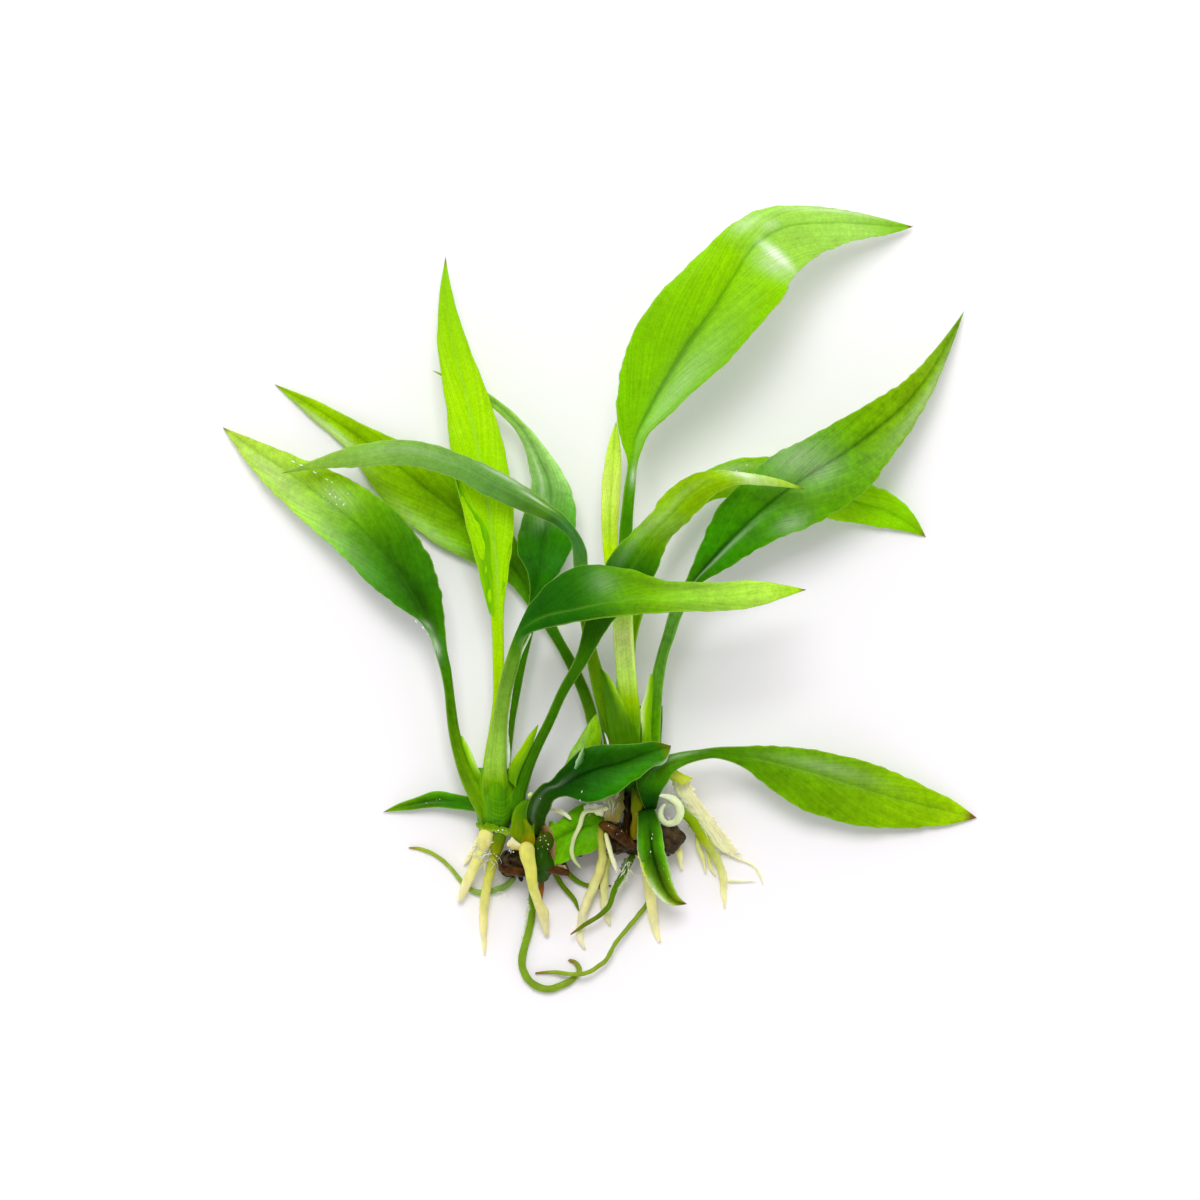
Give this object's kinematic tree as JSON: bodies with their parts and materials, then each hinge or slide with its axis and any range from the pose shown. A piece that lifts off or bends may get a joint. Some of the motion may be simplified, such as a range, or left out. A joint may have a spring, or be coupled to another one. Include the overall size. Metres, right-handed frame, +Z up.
{
  "type": "lagenandra plant with bare roots",
  "caption": "Young lagenandra: tufts of long stalked leaves on a creeping rhizome with bare roots, lying on its back on a surface.",
  "frame": {"origin": "middle of the plant's outline seen from above, on the surface that it lies on", "axes": "+Z up from the surface, +Y from the roots to the leaf tips, +X from the left tuft to the right tuft"},
  "size_m": [0.1257, 0.1309, 0.0288],
  "materials": {
    "leaf_green": "living leaf, satin and wet",
    "leaf_dark": "older living leaf, satin and wet",
    "leaf_pale": "young living leaf, thin and bright",
    "leaf_back": "matt grey-green leaf underside",
    "crown": "living leaf sheath, satin",
    "rhizome": "wet dark bark",
    "root_pale": "fleshy root, satin",
    "root_green": "thin green root, wet"
  },
  "bodies": {
    "root": {"leaf_left_outer": "leaf_green", "leaf_left_upright": "leaf_pale", "leaf_left_front": "leaf_green", "leaf_left_back": "leaf_dark", "leaf_left_crossing": "leaf_green", "leaf_left_torn": "leaf_dark", "leaf_left_low": "leaf_dark", "leaf_right_crossing_low": "leaf_green", "leaf_right_crossing_high": "leaf_back", "leaf_right_top": "leaf_green", "leaf_right_rolled": "leaf_pale", "leaf_right_back": "leaf_green", "leaf_right_large": "leaf_dark", "leaf_right_low": "leaf_green", "leaf_right_hanging": "leaf_dark", "leaf_right_old": "leaf_pale", "bract_right": "leaf_pale", "sheath_left": "crown", "crown_left": "crown", "crown_right": "crown", "rhizome": "rhizome", "root_left_1": "root_pale", "root_left_2": "root_pale", "root_left_3": "root_pale", "root_left_4": "root_pale", "root_left_5": "root_pale", "root_right_1": "root_pale", "root_right_2": "root_pale", "root_right_3": "root_pale", "root_right_4": "root_pale", "root_right_5": "root_pale", "root_right_6": "root_pale", "root_right_7": "root_pale", "root_right_curled": "root_pale", "root_green_1": "root_green", "root_green_2": "root_green", "root_green_3": "root_green", "root_green_4": "root_green", "root_green_5": "root_green", "root_green_6": "root_green"}
  },
  "joints": []
}
